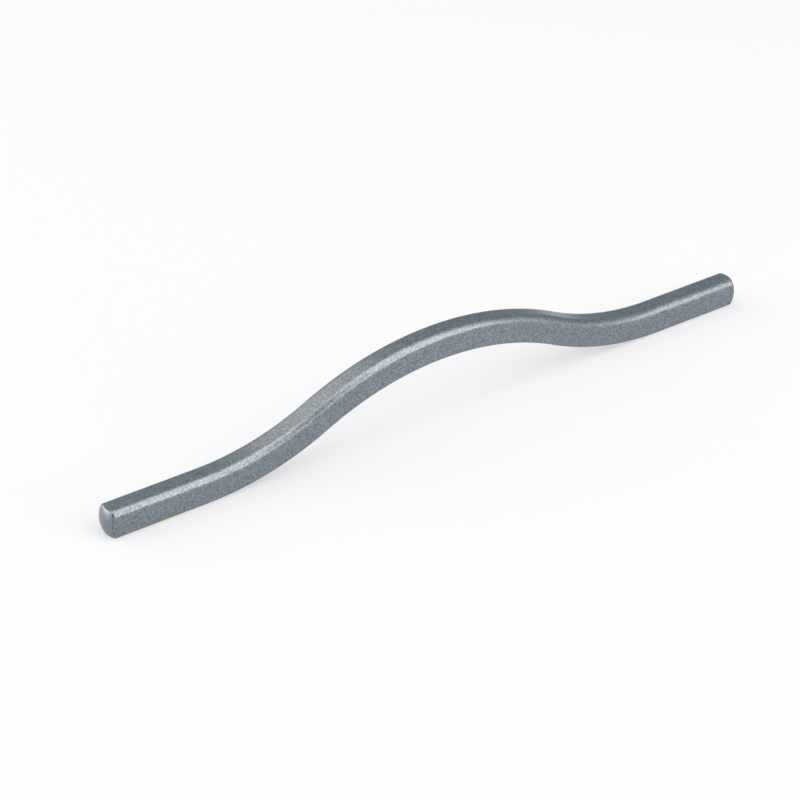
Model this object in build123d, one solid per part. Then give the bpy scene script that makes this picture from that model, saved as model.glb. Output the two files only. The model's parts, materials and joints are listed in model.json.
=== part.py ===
from build123d import *
import math
import os

# Arch pull: one die-cast bar that rises from two flat feet into a long low arch.
# X runs along the bar, Y across it and Z away from the front it is screwed to.
# The origin is in the mounting plane, midway between the feet. Lengths are in mm.

# Bar seen from the side, measured along its underside
hole_spacing = 192.0  # from one screw hole to the other
foot_overhang = 19.3  # from a screw hole to the end of the bar
foot_length = 32.4  # flat underside of each foot
finger_gap = 19.5  # from the mounting plane to the underside of the crest
foot_bend_radius = 93.0  # where a foot turns up into the arch

# Section of the bar, the same all along
bar_width = 7.8
bar_thickness = 8.9
top_edge_radius = 2.1
bottom_edge_radius = 1.1

# End faces, crowned both ways, with a rounded rim
crown_plan_radius = 7.0  # seen from above
crown_side_radius = 9.5  # seen from the side
end_rim_radius = 0.7

# Blind screw holes, cored for an M4 thread
thread_core_diameter = 3.3
thread_length = 6.2
mouth_diameter = 4.2
mouth_depth = 0.45
core_tip_angle = 118.0  # full angle of the cone that closes the hole

# Places that follow from the sizes above
half_length = hole_spacing / 2 + foot_overhang
bend_x = half_length - foot_length  # where the flat of a foot ends


def underside_path():
    """The underside from end to end: foot, bend, crest, bend, foot, all tangent."""
    # Two tangent arcs that climb finger_gap over bend_x have this sum of radii
    radii_sum = (bend_x**2 + finger_gap**2) / (2 * finger_gap)
    crest_radius = radii_sum - foot_bend_radius
    slope = math.degrees(math.asin(bend_x / radii_sum))
    with BuildLine(Plane.XZ) as path:
        Line((-half_length, 0), (-bend_x, 0))
        CenterArc((-bend_x, foot_bend_radius), foot_bend_radius, 270, slope)
        CenterArc((0, finger_gap - crest_radius), crest_radius, 90 + slope, -2 * slope)
        CenterArc((bend_x, foot_bend_radius), foot_bend_radius, 270 - slope, slope)
        Line((bend_x, 0), (half_length, 0))
    return path.wire()


def bar_section():
    """Square section with rounded edges, standing on the start of the underside."""
    start = Plane(origin=(-half_length, 0, 0), x_dir=(0, 1, 0), z_dir=(1, 0, 0))
    with BuildSketch(start) as section:
        Rectangle(bar_width, bar_thickness, align=(Align.CENTER, Align.MIN))
        fillet(section.vertices().group_by(Axis.Y)[-1], top_edge_radius)
        fillet(section.vertices().group_by(Axis.Y)[0], bottom_edge_radius)
    return section.sketch


def crown_barrel():
    """Upright barrel round the origin, a little taller than the bar is thick."""
    reach = bar_thickness / 2 + end_rim_radius
    arc_middle = crown_plan_radius - crown_side_radius
    lid_radius = arc_middle + math.sqrt(crown_side_radius**2 - reach**2)
    with BuildPart() as barrel:
        with BuildSketch(Plane.XZ):
            with BuildLine():
                Polyline((lid_radius, reach), (0, reach), (0, -reach), (lid_radius, -reach))
                ThreePointArc((lid_radius, -reach), (crown_plan_radius, 0), (lid_radius, reach))
            make_face()
        revolve(axis=Axis.Z)
    return barrel.part


def space_between_end_faces():
    """Block over the whole arch, with a barrel at each end that shapes the end face."""
    barrel_x = half_length - crown_plan_radius
    middle_height = bar_thickness / 2
    with BuildPart() as space:
        Box(2 * barrel_x, 2 * bar_width, 2 * (finger_gap + 2 * bar_thickness))
        with Locations((-barrel_x, 0, middle_height), (barrel_x, 0, middle_height)):
            add(crown_barrel())
    return space.part


def screw_hole():
    """Space of a screw hole at the origin: flared mouth, thread core, conical end."""
    core_radius = thread_core_diameter / 2
    mouth_radius = mouth_diameter / 2
    core_end = mouth_depth + thread_length
    tip = core_end + core_radius / math.tan(math.radians(core_tip_angle / 2))
    with BuildPart() as hole:
        with BuildSketch(Plane.XZ):
            Polygon(
                (0, 0),
                (mouth_radius, 0),
                (core_radius, mouth_depth),
                (core_radius, core_end),
                (0, tip),
                align=None,
            )
        revolve(axis=Axis.Z)
    return hole.part


def pull_bar():
    """The whole casting: the swept bar, its crowned ends and its two screw holes."""
    with BuildPart() as bar:
        sweep(bar_section(), path=underside_path())
        add(space_between_end_faces(), mode=Mode.INTERSECT)
        ends = bar.faces().sort_by(Axis.X)
        fillet(ends[0].edges() + ends[-1].edges(), end_rim_radius)
        with Locations((-hole_spacing / 2, 0), (hole_spacing / 2, 0)):
            add(screw_hole(), mode=Mode.SUBTRACT)
    return bar.part


os.makedirs("parts", exist_ok=True)
export_step(pull_bar(), "parts/pull_bar.step")
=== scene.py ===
import bmesh
import bpy
import json
import math
from mathutils import Matrix, Vector


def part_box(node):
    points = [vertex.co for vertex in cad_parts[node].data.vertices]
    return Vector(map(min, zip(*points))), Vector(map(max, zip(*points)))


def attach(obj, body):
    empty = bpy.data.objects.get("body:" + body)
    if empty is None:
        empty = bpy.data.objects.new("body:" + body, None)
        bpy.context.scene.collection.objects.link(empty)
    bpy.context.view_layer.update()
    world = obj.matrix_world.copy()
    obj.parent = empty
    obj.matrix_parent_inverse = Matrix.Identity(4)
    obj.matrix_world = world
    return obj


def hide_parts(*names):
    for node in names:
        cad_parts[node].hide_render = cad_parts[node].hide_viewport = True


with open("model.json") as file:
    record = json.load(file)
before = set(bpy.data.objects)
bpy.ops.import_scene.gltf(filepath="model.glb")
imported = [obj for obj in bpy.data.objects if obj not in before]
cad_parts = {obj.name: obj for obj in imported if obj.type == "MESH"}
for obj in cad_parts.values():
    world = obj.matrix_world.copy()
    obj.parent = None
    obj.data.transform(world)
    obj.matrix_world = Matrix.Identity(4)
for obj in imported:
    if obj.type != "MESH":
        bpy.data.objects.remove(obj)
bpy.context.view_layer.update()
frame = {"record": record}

bpy.ops.object.select_all(action="DESELECT")


# The pull is one bar, die-cast in zinc alloy. Two flat feet turn up into a long low arch.
# The section is a square with rounded edges, the same from end to end. The two end faces are
# crowned both ways and meet the sides in a crisp rim.

half_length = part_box("pull_bar")[1].x
foot_length = 0.0324
finger_gap = 0.0195
foot_bend_radius = 0.093
bar_width = 0.0078
bar_thickness = 0.0089
top_edge_radius = 0.0021
bottom_edge_radius = 0.0011
crown_plan_radius = 0.007
crown_side_radius = 0.0095
end_rim_radius = 0.0007
section_corner_steps = 12
section_flat_cuts = 11
end_rim_steps = 8
crown_rings = 10
foot_steps = 8
foot_bend_steps = 36
crest_steps = 72
round_profile = 0.5
sharp_angle = math.radians(30)
flat_face_weight = 100  # the large flat faces set the shading of the rounded ones beside them
touching = 1e-6  # closer than this counts as the same place


def select_where(model, kind, wanted):
    """Selects each corner, edge or face whose middle passes the test, and nothing else."""
    bpy.ops.mesh.select_mode(type=kind)
    bpy.ops.mesh.select_all(action="DESELECT")
    shape = bmesh.from_edit_mesh(model.data)
    if kind == "VERT":
        for corner in shape.verts:
            corner.select = wanted(corner.co)
    elif kind == "EDGE":
        for edge in shape.edges:
            edge.select = wanted((edge.verts[0].co + edge.verts[1].co) / 2)
    else:
        for face in shape.faces:
            face.select = wanted(face.calc_center_median())
    shape.select_flush_mode()
    bmesh.update_edit_mesh(model.data)


def apply_modifiers(model):
    bpy.context.view_layer.objects.active = model
    for modifier in list(model.modifiers):
        bpy.ops.object.modifier_apply(modifier=modifier.name)


# The section is drawn standing on the left end, then its corners are rounded and its flat
# sides divided.
bpy.ops.mesh.primitive_plane_add(
    size=1, location=(-half_length, 0, bar_thickness / 2), rotation=(0, math.pi / 2, 0)
)
bar = bpy.context.active_object
bar.name = "cast_pull_bar"
bar.scale = (bar_thickness, bar_width, 1)
bpy.ops.object.transform_apply(location=True, rotation=True, scale=True)
bpy.ops.object.mode_set(mode="EDIT")
for corner_radius, corner_height in (
    (top_edge_radius, bar_thickness),
    (bottom_edge_radius, 0),
):
    select_where(bar, "VERT", lambda place: abs(place.z - corner_height) < touching)
    bpy.ops.mesh.bevel(
        offset=corner_radius,
        offset_type="ABSOLUTE",
        affect="VERTICES",
        segments=section_corner_steps,
        profile=round_profile,
    )
select_where(
    bar,
    "EDGE",
    lambda middle: abs(middle.y) < touching or abs(abs(middle.y) - bar_width / 2) < touching,
)
bpy.ops.mesh.subdivide(number_cuts=section_flat_cuts)

# It is drawn out along the left foot, up the bend, over the crest and down to the right foot.
bend_x = half_length - foot_length
radii_sum = (bend_x**2 + finger_gap**2) / (2 * finger_gap)
crest_radius = radii_sum - foot_bend_radius
slope = math.asin(bend_x / radii_sum)


def draw_out_foot():
    for step in range(foot_steps):
        bpy.ops.mesh.extrude_region_move(
            TRANSFORM_OT_translate={"value": (foot_length / foot_steps, 0, 0)}
        )


def draw_round(centre_x, centre_z, angle, steps):
    bpy.ops.mesh.spin(
        steps=steps, angle=angle, center=(centre_x, 0, centre_z), axis=(0, 1, 0)
    )


select_where(bar, "FACE", lambda middle: True)
draw_out_foot()
draw_round(-bend_x, foot_bend_radius, slope, foot_bend_steps)
draw_round(0, finger_gap - crest_radius, -2 * slope, crest_steps)
draw_round(bend_x, foot_bend_radius, slope, foot_bend_steps)
draw_out_foot()


# Each flat end face is divided into rings round its middle. Then the rings are set back by
# the depth of the crown, and the rim is rounded.
def crown_drop(across, height):
    """How far the crowned end face lies back from its foremost point."""
    side_drop = crown_side_radius - math.sqrt(
        crown_side_radius**2 - (height - bar_thickness / 2) ** 2
    )
    return crown_plan_radius - math.sqrt((crown_plan_radius - side_drop) ** 2 - across**2)


for end_x in (-half_length, half_length):
    select_where(bar, "FACE", lambda middle: abs(middle.x - end_x) < touching)
    for ring in range(crown_rings, 0, -1):
        bpy.ops.mesh.extrude_region_move(TRANSFORM_OT_translate={"value": (0, 0, 0)})
        share = (ring - 1) / ring
        bpy.ops.transform.resize(
            value=(1, share, share), center_override=(end_x, 0, bar_thickness / 2)
        )
bpy.ops.mesh.select_all(action="SELECT")
bpy.ops.mesh.remove_doubles(threshold=touching)
bpy.ops.mesh.normals_make_consistent(inside=False)
bpy.ops.object.mode_set(mode="OBJECT")
for corner in bar.data.vertices:
    if abs(corner.co.x) > half_length - touching:
        corner.co.x -= math.copysign(crown_drop(corner.co.y, corner.co.z), corner.co.x)

rim_turn = math.acos(bar_width / 2 / crown_plan_radius)  # from a side to the end face
bpy.ops.object.mode_set(mode="EDIT")
bpy.ops.mesh.select_mode(type="EDGE")
bpy.ops.mesh.select_all(action="DESELECT")
bpy.ops.mesh.edges_select_sharp(sharpness=rim_turn / 2)
bpy.ops.mesh.bevel(
    offset=end_rim_radius * math.tan(rim_turn / 2),
    offset_type="OFFSET",
    affect="EDGES",
    segments=end_rim_steps,
    profile=round_profile,
    clamp_overlap=False,
)
bpy.ops.object.mode_set(mode="OBJECT")


# Each foot has a blind hole for an M4 screw, 192 mm from the other. It is drilled, its mouth is
# flared, and the thread is tapped into the bare metal after the casting has cooled.

screw_places = [
    Vector(mount["pos_m"])
    for mount in frame["record"]["mounts"]
    if mount["kind"] == "threaded_hole"
]
core_radius = 0.00165
thread_radius = 0.002
thread_pitch = 0.0007
mouth_radius = 0.0021
mouth_depth = 0.00045
mouth_flare = (mouth_radius - core_radius) / mouth_depth
thread_end = 0.0065
core_end = 0.00665
core_tip_half_angle = math.radians(59)
tool_start = -0.0007  # drill and tap come from below the foot
hole_sides = 48
thread_turns = (thread_end - tool_start) / thread_pitch
cuts_per_turn = 20
thread_crest_share = 0.25  # of a pitch, flat on the core
thread_root_share = 0.125  # of a pitch, flat at full depth


def drill(hole_x):
    """The space that the flared mouth, the core and the tip of the drill leave."""
    start_radius = mouth_radius - mouth_flare * tool_start
    bpy.ops.mesh.primitive_circle_add(
        vertices=hole_sides,
        radius=start_radius,
        fill_type="NGON",
        location=(hole_x, 0, tool_start),
    )
    cutter = bpy.context.active_object
    bpy.ops.object.transform_apply(location=True)
    bpy.ops.object.mode_set(mode="EDIT")
    bpy.ops.mesh.select_all(action="SELECT")
    tip = core_end + core_radius / math.tan(core_tip_half_angle)
    height = tool_start
    for next_height, share in (
        (mouth_depth, core_radius / start_radius),
        (core_end, 1),
        (tip, 0),
    ):
        bpy.ops.mesh.extrude_region_move(
            TRANSFORM_OT_translate={"value": (0, 0, next_height - height)}
        )
        bpy.ops.transform.resize(
            value=(share, share, 1), center_override=(hole_x, 0, next_height)
        )
        height = next_height
    bpy.ops.mesh.select_all(action="SELECT")
    bpy.ops.mesh.remove_doubles(threshold=touching)
    bpy.ops.mesh.normals_make_consistent(inside=False)
    bpy.ops.object.mode_set(mode="OBJECT")
    return cutter


def thread_depth_share(turn_share):
    """Depth of the thread at this share of a turn: crest, flank, root, flank."""
    flank_share = (1 - thread_crest_share - thread_root_share) / 2
    from_root = abs((turn_share + 0.5) % 1 - 0.5)
    return max(0, min(1, 1 - (from_root - thread_root_share / 2) / flank_share))


def tap(hole_x):
    """The space of the tapped thread: a disc with a V-shaped bulge, drawn up and twisted."""
    bpy.ops.mesh.primitive_cylinder_add(
        vertices=hole_sides,
        radius=core_radius,
        depth=thread_end - tool_start,
        end_fill_type="NGON",
    )
    cutter = bpy.context.active_object
    for corner in cutter.data.vertices:
        turn_share = math.atan2(corner.co.y, corner.co.x) / (2 * math.pi)
        depth = (thread_radius - core_radius) * thread_depth_share(turn_share)
        corner.co.xy *= (core_radius + depth) / core_radius
    bpy.ops.object.mode_set(mode="EDIT")
    select_where(cutter, "EDGE", lambda middle: abs(middle.z) < touching)
    bpy.ops.mesh.subdivide(
        number_cuts=round(thread_turns * cuts_per_turn), quadcorner="INNERVERT"
    )
    bpy.ops.object.mode_set(mode="OBJECT")
    twist = cutter.modifiers.new("twist", "SIMPLE_DEFORM")
    twist.deform_method = "TWIST"
    twist.deform_axis = "Z"
    twist.angle = thread_turns * 2 * math.pi
    apply_modifiers(cutter)
    cutter.location = (hole_x, 0, (thread_end + tool_start) / 2)
    bpy.ops.object.transform_apply(location=True)
    return cutter


def combine(model, other, operation):
    """Adds the other solid to the model or takes it away, and removes the other solid."""
    step = model.modifiers.new("combine", "BOOLEAN")
    step.operation = operation
    step.solver = "EXACT"
    step.object = other
    apply_modifiers(model)
    bpy.data.objects.remove(other)


for screw_place in screw_places:
    hole = drill(screw_place.x)
    combine(hole, tap(screw_place.x), "UNION")
    combine(bar, hole, "DIFFERENCE")

bpy.ops.object.select_all(action="DESELECT")
bar.select_set(True)
bpy.context.view_layer.objects.active = bar

bpy.ops.object.shade_smooth_by_angle(angle=sharp_angle)
even_out = bar.modifiers.new("even_out", "WEIGHTED_NORMAL")
even_out.keep_sharp = True
even_out.weight = flat_face_weight
apply_modifiers(bar)


# The whole bar is sprayed with a grey metallic lacquer: fine aluminium flakes in a blue-grey
# base under a satin clear coat. The fixture keeps the spray off the bores and off a patch
# round each screw hole, which stay bare zinc with its yellow passivation.

base_colour = (0.055, 0.068, 0.080, 1)
flake_colour = (0.305, 0.362, 0.422, 1)
green_tint = (0.93, 1.045, 0.985, 1)
violet_tint = (1.07, 0.955, 1.015, 1)
flake_size = 0.00017
flake_spread = 0.75
flake_tilt = 0.125
cloud_size = 0.0007  # the flakes lie denser in some places
cloud_spread = 0.9
tint_size = 0.00056
end_contrast = 0.3  # the crowned end faces came out smoother
average = 0.5  # what the flakes and clouds swing round
spot_softness = 0.15
patterns_per_metre = 1000  # sizes a millimetre apart show noise patterns one step apart

rim_reach = 0.0022  # the rims lie this near the ends
painted_rim_shade_depth = 0.5  # of the flakes, taken off along the upright rims as painted shade
rim_break_size = 0.0011
rim_break_softness = 0.1

# Where a face counts as an end face or a rim, by how far it is turned endways or sideways
end_face_turn = (0.5, 0.75)
rim_leaves_side = (0.15, 0.4)
rim_meets_end = (0.8, 0.65)
rim_is_upright = (0.5, 0.65)

grazing_tint = (0.4, 0.4, 0.4, 1)  # seen through the coat, flakes don't flare at the edges
lacquer_roughness = 0.46
coat_roughness = 0.2
peel_size = 0.0016
peel_depth = 0.000004

passivation_yellow = (0.44, 0.42, 0.02, 1)
passivation_green = (0.26, 0.34, 0.05, 1)
passivation_roughness = 0.38
stain_size = 0.002
patch_radius = 0.0049
patch_height = 0.00092  # the spray reaches all that lies higher
patch_blur = 0.00012
bore_reach = 0.00215
right_patch_shift = 0.0017  # the right foot sat a little to the front on its pin

lacquer = bpy.data.materials.new("grey_metallic_lacquer")
lacquer.use_nodes = True
nodes = lacquer.node_tree.nodes
links = lacquer.node_tree.links
surface = nodes["Principled BSDF"]
surface.inputs["Metallic"].default_value = 1
surface.inputs["Specular Tint"].default_value = grazing_tint
surface.inputs["Coat Roughness"].default_value = coat_roughness
place = nodes.new("ShaderNodeTexCoord")
where = nodes.new("ShaderNodeSeparateXYZ")
links.new(place.outputs["Object"], where.inputs["Vector"])


def feed(socket, source):
    """Gives a socket a value, or links another node's output to it."""
    if isinstance(source, bpy.types.NodeSocket):
        links.new(source, socket)
    else:
        socket.default_value = source


def calculate(operation, first, second=0.0):
    node = nodes.new("ShaderNodeMath")
    node.operation = operation
    feed(node.inputs[0], first)
    feed(node.inputs[1], second)
    return node.outputs["Value"]


def rise(value, start, end):
    """Goes from 0 to 1 while the value goes from start to end."""
    node = nodes.new("ShaderNodeMapRange")
    node.interpolation_type = "SMOOTHSTEP"
    feed(node.inputs["Value"], value)
    feed(node.inputs["From Min"], start)
    feed(node.inputs["From Max"], end)
    return node.outputs["Result"]


def mix(share, first, second, blend_type="MIX"):
    node = nodes.new("ShaderNodeMix")
    node.data_type = "RGBA"
    node.blend_type = blend_type
    feed(node.inputs["Factor"], share)
    feed(node.inputs["A"], first)
    feed(node.inputs["B"], second)
    return node.outputs["Result"]


def combine_vectors(operation, *sources):
    node = nodes.new("ShaderNodeVectorMath")
    node.operation = operation
    for socket, source in zip(node.inputs, sources):
        feed(socket, source)
    return node


def cloudy(size):
    """Soft noise of this size, with a pattern of its own for each size."""
    node = nodes.new("ShaderNodeTexNoise")
    node.noise_dimensions = "4D"
    feed(node.inputs["Vector"], place.outputs["Object"])
    feed(node.inputs["Scale"], 1 / size)
    feed(node.inputs["W"], size * patterns_per_metre)
    return node.outputs["Fac"]


def spots(size, softness):
    """Spots that cover about half of the surface, with soft edges."""
    return rise(cloudy(size), average - softness, average + softness)


# Each flake has its own brightness and tilt. They hardly show on the two end faces. Along the
# upright rims, patches of flakes are taken away, which paints a dark line of shade there.
flakes = nodes.new("ShaderNodeTexVoronoi")
feed(flakes.inputs["Vector"], place.outputs["Object"])
feed(flakes.inputs["Scale"], 1 / flake_size)
flake_values = nodes.new("ShaderNodeSeparateColor")
feed(flake_values.inputs["Color"], flakes.outputs["Color"])
facing = nodes.new("ShaderNodeSeparateXYZ")
feed(facing.inputs["Vector"], place.outputs["Normal"])
turned_endways = calculate("ABSOLUTE", facing.outputs["X"])
on_end_face = rise(turned_endways, *end_face_turn)
contrast = calculate("SUBTRACT", 1, calculate("MULTIPLY", on_end_face, 1 - end_contrast))
flake_part = calculate(
    "MULTIPLY", calculate("SUBTRACT", flake_values.outputs["Red"], average), flake_spread
)
cloud_part = calculate(
    "MULTIPLY", calculate("SUBTRACT", cloudy(cloud_size), average), cloud_spread
)
variation = calculate("MULTIPLY", calculate("ADD", flake_part, cloud_part), contrast)
# Painted shade: near each end, patches of flakes are taken off the upright rims, so the rims
# show a dark line.
near_end = calculate(
    "GREATER_THAN", calculate("ABSOLUTE", where.outputs["X"]), half_length - rim_reach
)
turned_sideways = calculate("ABSOLUTE", facing.outputs["Y"])
painted_rim_shade = painted_rim_shade_depth
for part in (
    near_end,
    rise(turned_endways, *rim_leaves_side),
    rise(turned_endways, *rim_meets_end),
    rise(turned_sideways, *rim_is_upright),
    spots(rim_break_size, rim_break_softness),
):
    painted_rim_shade = calculate("MULTIPLY", part, painted_rim_shade)
flake_share_less_rim_shade = calculate("SUBTRACT", calculate("ADD", average, variation), painted_rim_shade)
tint = mix(spots(tint_size, spot_softness), green_tint, violet_tint)
lacquer_colour = mix(1.0, mix(flake_share_less_rim_shade, base_colour, flake_colour), tint, "MULTIPLY")

# Bare metal lies round each hole on the underside, and in its bore.
hole_x = max(screw_place.x for screw_place in screw_places)
along = calculate("SUBTRACT", calculate("ABSOLUTE", where.outputs["X"]), hole_x)
on_right = calculate("GREATER_THAN", where.outputs["X"], 0.0)
across = calculate(
    "SUBTRACT", where.outputs["Y"], calculate("MULTIPLY", on_right, right_patch_shift)
)


def distance(along, across):
    step = nodes.new("ShaderNodeCombineXYZ")
    feed(step.inputs["X"], along)
    feed(step.inputs["Y"], across)
    return combine_vectors("LENGTH", step.outputs["Vector"]).outputs["Value"]


near_hole = rise(distance(along, across), patch_radius + patch_blur, patch_radius - patch_blur)
low_down = rise(where.outputs["Z"], patch_height + patch_blur, patch_height - patch_blur)
in_bore = calculate("LESS_THAN", distance(along, where.outputs["Y"]), bore_reach)
below_skin = calculate("LESS_THAN", where.outputs["Z"], bar_thickness - top_edge_radius)
bare = calculate(
    "MAXIMUM",
    calculate("MULTIPLY", near_hole, low_down),
    calculate("MULTIPLY", in_bore, below_skin),
)
passivation_colour = mix(
    spots(stain_size, spot_softness), passivation_yellow, passivation_green
)
feed(surface.inputs["Base Color"], mix(bare, lacquer_colour, passivation_colour))
feed(surface.inputs["Coat Weight"], calculate("SUBTRACT", 1, bare))
bare_roughness = calculate("MULTIPLY", bare, passivation_roughness - lacquer_roughness)
feed(surface.inputs["Roughness"], calculate("ADD", lacquer_roughness, bare_roughness))

# The coat has a faint orange peel, and the flakes under it lie at small tilts.
peel = nodes.new("ShaderNodeBump")
feed(peel.inputs["Height"], cloudy(peel_size))
feed(peel.inputs["Distance"], peel_depth)
tilt = combine_vectors(
    "MULTIPLY_ADD",
    flakes.outputs["Color"],
    (flake_tilt, flake_tilt, flake_tilt),
    (-flake_tilt / 2, -flake_tilt / 2, -flake_tilt / 2),
)
held_tilt = combine_vectors("MULTIPLY", tilt.outputs["Vector"], contrast)
tilted_normal = combine_vectors("ADD", peel.outputs["Normal"], held_tilt.outputs["Vector"])
unit_normal = combine_vectors("NORMALIZE", tilted_normal.outputs["Vector"])
feed(surface.inputs["Normal"], unit_normal.outputs["Vector"])
feed(surface.inputs["Coat Normal"], peel.outputs["Normal"])

bar.data.materials.clear()
bar.data.materials.append(lacquer)
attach(bar, "root")
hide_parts("pull_bar")


# The floor is a wide sheet of white paper. The camera, polished metal and glass see most of
# its brightness as it is, and the rest shows the pull's soft shadow.

floor_radius = 4
floor_height = -0.00002  # a hair below the feet, so that no two faces share a plane
floor_sides = 96
paper_colour = (0.604, 0.642, 0.690, 1)
paper_seen_colour = (0.98, 0.97, 0.985, 1)
paper_roughness = 0.9
shadow_share = 0.45

bpy.ops.mesh.primitive_circle_add(
    vertices=floor_sides,
    radius=floor_radius,
    fill_type="NGON",
    location=(0, 0, floor_height),
)
floor = bpy.context.active_object
floor.name = "floor"

paper = bpy.data.materials.new("white_paper")
paper.use_nodes = True
nodes = paper.node_tree.nodes
links = paper.node_tree.links
matt_paper = nodes["Principled BSDF"]
matt_paper.inputs["Base Color"].default_value = paper_colour
matt_paper.inputs["Roughness"].default_value = paper_roughness
matt_paper.inputs["Specular IOR Level"].default_value = 0
seen_paper = nodes.new("ShaderNodeEmission")
seen_paper.inputs["Color"].default_value = paper_seen_colour
path = nodes.new("ShaderNodeLightPath")
seen = path.outputs["Is Camera Ray"]
for ray in ("Is Glossy Ray", "Is Transmission Ray"):
    seen = calculate("MAXIMUM", seen, path.outputs[ray])
paper_mix = nodes.new("ShaderNodeMixShader")
feed(paper_mix.inputs["Fac"], calculate("MULTIPLY", seen, 1 - shadow_share))
feed(paper_mix.inputs[1], matt_paper.outputs["BSDF"])
feed(paper_mix.inputs[2], seen_paper.outputs["Emission"])
feed(nodes["Material Output"].inputs["Surface"], paper_mix.outputs["Shader"])
floor.data.materials.append(paper)


# The light is a grey room with a long soft lamp over the front of the pull, a broad one over
# its back and two low ones, in front and past the left end. A round black card near the
# camera gives the bar its dark accents.

room_colour = (0.85, 0.99, 1, 1)
room_strength = 0.515
# Each lamp's colour, direction from the pull, roll, width and height, and brightness
lamps = {
    "front_lamp": ((1, 0.87, 0.80), (0.375, -0.592, 1.000), -0.057, (0.946, 2.676), 3.10),
    "back_lamp": ((1, 0.86, 0.76), (-0.811, 0.779, 0.638), -1.549, (2.002, 2.204), 1.20),
    "low_lamp": ((1, 0.94, 0.91), (0.431, -1.674, 0.125), 0.514, (0.962, 0.338), 2.90),
    "end_lamp": ((1, 0.92, 0.82), (-1.148, 0.927, 0.323), 0.008, (1.326, 0.688), 2.90),
}
lamp_distance = 1.2
card_direction = Vector((-0.316, -0.699, 0.641)).normalized()
card_distance = 1.0
card_radius = 0.348
black_colour = (0.01, 0.01, 0.01, 1)

room = bpy.data.worlds.new("grey_room")
bpy.context.scene.world = room
room.use_nodes = True
room.node_tree.nodes["Background"].inputs["Color"].default_value = room_colour
room.node_tree.nodes["Background"].inputs["Strength"].default_value = room_strength

for name, (colour, direction, roll, (width, height), brightness) in lamps.items():
    outward = Vector(direction).normalized()
    level = Vector((0, 0, 1)).cross(outward).normalized()
    upright = outward.cross(level)
    lamp_data = bpy.data.lights.new(name, "AREA")
    lamp_data.shape = "RECTANGLE"
    lamp_data.color = colour
    lamp_data.size = width
    lamp_data.size_y = height
    lamp_data.energy = brightness * math.pi * width * height
    lamp = bpy.data.objects.new(name, lamp_data)
    turned = math.cos(roll) * level + math.sin(roll) * upright
    lamp.rotation_mode = "QUATERNION"
    lamp.rotation_quaternion = (
        Matrix((turned, outward.cross(turned), outward)).transposed().to_quaternion()
    )
    lamp.location = outward * lamp_distance
    bpy.context.scene.collection.objects.link(lamp)

bpy.ops.mesh.primitive_circle_add(
    radius=card_radius,
    fill_type="NGON",
    location=card_direction * card_distance,
    rotation=card_direction.to_track_quat("Z", "Y").to_euler(),
)
card = bpy.context.active_object
card.name = "black_card"
black = bpy.data.materials.new("black_card")
black.use_nodes = True
black.node_tree.nodes["Principled BSDF"].inputs["Base Color"].default_value = black_colour
card.data.materials.append(black)
card.visible_camera = False
card.visible_diffuse = False
card.visible_shadow = False


# The camera looks down on the front from the left, as in the photograph.

camera_azimuth = math.radians(-35.588)
camera_elevation = math.radians(32.641)
camera_roll = math.radians(0.561)
camera_distance = 0.83764
camera_right = -0.01094
camera_up = 0.00274
camera_lens = 125.58
film_width = 36

camera_data = bpy.data.cameras.new("camera")
camera_data.lens = camera_lens
camera_data.sensor_width = film_width
camera = bpy.data.objects.new("camera", camera_data)
backward = Vector(
    (
        math.sin(camera_azimuth) * math.cos(camera_elevation),
        -math.cos(camera_azimuth) * math.cos(camera_elevation),
        math.sin(camera_elevation),
    )
)
level_right = (-backward).cross(Vector((0, 0, 1))).normalized()
level_up = level_right.cross(-backward)
right = math.cos(camera_roll) * level_right + math.sin(camera_roll) * level_up
up = math.cos(camera_roll) * level_up - math.sin(camera_roll) * level_right
camera.rotation_mode = "QUATERNION"
camera.rotation_quaternion = Matrix((right, up, backward)).transposed().to_quaternion()
camera.location = backward * camera_distance + right * camera_right + up * camera_up
bpy.context.scene.collection.objects.link(camera)
bpy.context.scene.camera = camera
bpy.context.scene.view_settings.view_transform = "Standard"
